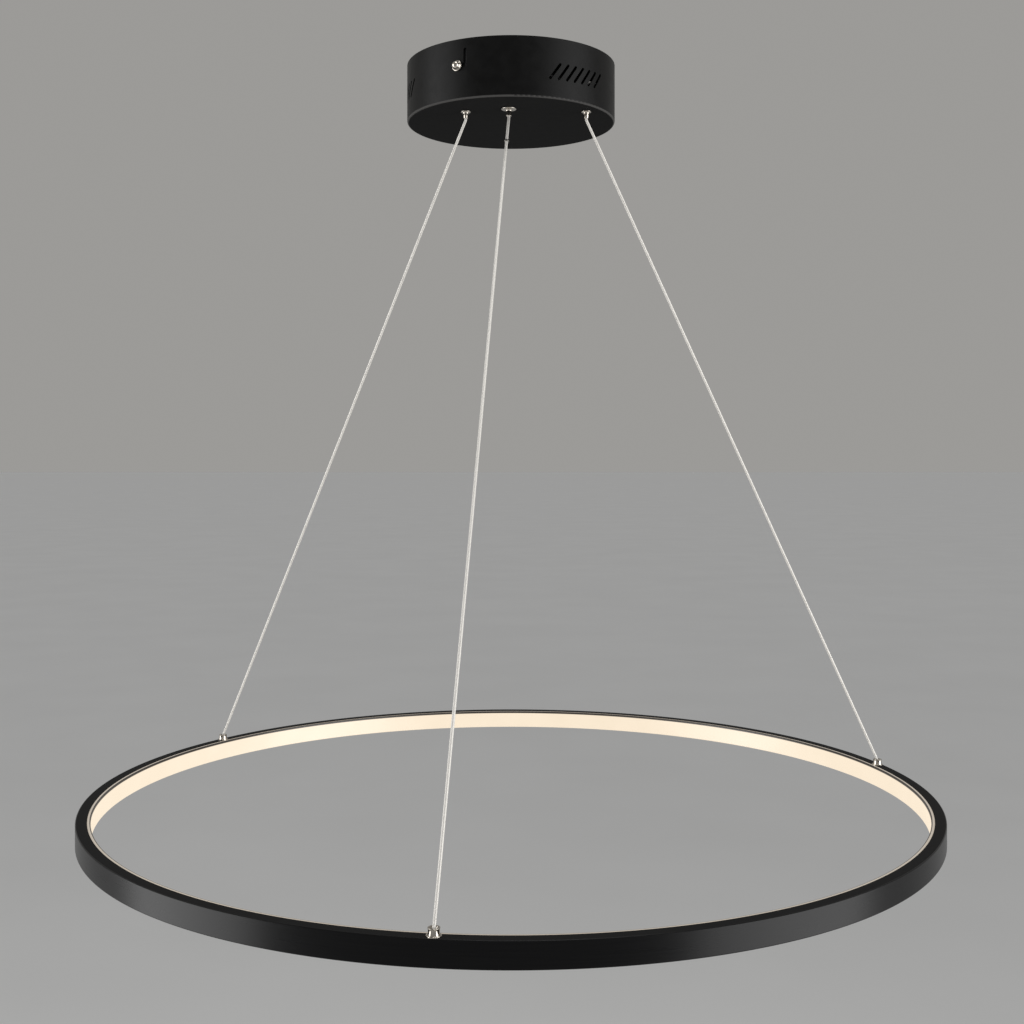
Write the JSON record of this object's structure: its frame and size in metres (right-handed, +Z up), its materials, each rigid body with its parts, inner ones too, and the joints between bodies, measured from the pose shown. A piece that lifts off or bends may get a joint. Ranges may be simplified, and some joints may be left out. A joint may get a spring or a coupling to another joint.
{
  "type": "ring pendant light",
  "caption": "Ring pendant light: a drum canopy, taut feed cables and a slim black ring that is lit on its inner face.",
  "frame": {"origin": "on the canopy's axis, in the plane of the ceiling that the bracket's bar lies against", "axes": "+Z up into the ceiling, along the canopy's axis; -Y towards the front, where the side screw and the vents show; +X to the right as seen from the front"},
  "size_m": [0.8, 0.8, 0.7165],
  "materials": {
    "black_paint": "satin",
    "black_anodised": "satin anodised black",
    "nickel": "polished",
    "zinc_steel": "zinc plated",
    "spring_steel": "bright wire",
    "cable_coat": "clear coat over steel strands",
    "bead_metal": "satin",
    "brass": "bare",
    "opal_diffuser": "frosted opal, lit",
    "driver_case": "moulded",
    "circuit_board": "lacquered",
    "components": "mixed moulded parts",
    "terminal_plastic": "moulded",
    "strip_white": "white solder mask",
    "phosphor": "phosphor gel",
    "lead_red": "soft insulation",
    "lead_brown": "soft insulation",
    "grommet_rubber": "moulded"
  },
  "bodies": {
    "bracket": {"ceiling_bracket": "zinc_steel", "clinch_nuts": "zinc_steel", "supply_grommet": "grommet_rubber", "earth_screw": "brass", "earth_washer": "brass"},
    "side_screw_front": {"side_screw_front": "nickel"},
    "side_screw_rear": {"side_screw_rear": "nickel"},
    "canopy": {"canopy_shell": "black_paint", "canopy_studs": "zinc_steel", "stud_nuts": "zinc_steel", "driver_strap": "zinc_steel", "driver_base": "driver_case", "driver_lid": "driver_case", "driver_board": "circuit_board", "driver_parts": "components", "terminal_block": "terminal_plastic", "terminal_screws": "zinc_steel", "input_leads": "lead_brown", "output_leads": "lead_red", "gripper_body_front": "nickel", "gripper_body_left": "nickel", "gripper_body_right": "nickel", "gripper_washers": "zinc_steel", "gripper_nuts": "zinc_steel", "gripper_caps": "nickel", "gripper_spring_front": "spring_steel", "gripper_spring_left": "spring_steel", "gripper_spring_right": "spring_steel", "cable_front": "cable_coat", "cable_left": "cable_coat", "cable_right": "cable_coat", "cable_bead": "bead_metal", "cable_tails": "cable_coat", "crimp_connectors": "lead_red"},
    "ring": {"ring_profile": "black_anodised", "ring_joint": "zinc_steel", "diffuser": "opal_diffuser", "led_strip": "strip_white", "led_chips": "phosphor", "strip_leads": "lead_red", "socket_front_cable": "nickel", "socket_left_cable": "nickel", "socket_right_cable": "nickel", "socket_washers": "zinc_steel", "socket_nuts": "zinc_steel", "cable_ferrules": "brass"},
    "plunger_front": {"plunger_front": "nickel", "gripper_balls_front": "spring_steel"},
    "plunger_left": {"plunger_left": "nickel", "gripper_balls_left": "spring_steel"},
    "plunger_right": {"plunger_right": "nickel", "gripper_balls_right": "spring_steel"}
  },
  "joints": [
    {"name": "canopy_twist", "type": "hinge", "parent": "bracket", "child": "canopy", "pos_m": [0, 0, 0], "axis": [0, 0, 1], "range_deg": [-4.6, 0]},
    {"name": "side_screw_front_turn", "type": "hinge", "parent": "bracket", "child": "side_screw_front", "pos_m": [-0.0476, -0.08623, -0.0243], "axis": [-0.4833, -0.8755, 0], "continuous": true},
    {"name": "side_screw_rear_turn", "type": "hinge", "parent": "bracket", "child": "side_screw_rear", "pos_m": [0.0476, 0.08623, -0.0243], "axis": [0.4833, 0.8755, 0], "continuous": true},
    {"name": "ring_height", "type": "slide", "parent": "canopy", "child": "ring", "axis": [0, 0, 1], "range_m": [0, 0.3], "deforming": ["cable_front", "cable_left", "cable_right", "cable_bead"]},
    {"name": "plunger_front_press", "type": "slide", "parent": "canopy", "child": "plunger_front", "axis": [0, 0, 1], "range_m": [0, 0.0015], "stiffness_N_per_m": 400, "springref_m": -0.005, "deforming": ["gripper_spring_front"]},
    {"name": "plunger_left_press", "type": "slide", "parent": "canopy", "child": "plunger_left", "axis": [0, 0, 1], "range_m": [0, 0.0015], "stiffness_N_per_m": 400, "springref_m": -0.005, "deforming": ["gripper_spring_left"]},
    {"name": "plunger_right_press", "type": "slide", "parent": "canopy", "child": "plunger_right", "axis": [0, 0, 1], "range_m": [0, 0.0015], "stiffness_N_per_m": 400, "springref_m": -0.005, "deforming": ["gripper_spring_right"]}
  ]
}
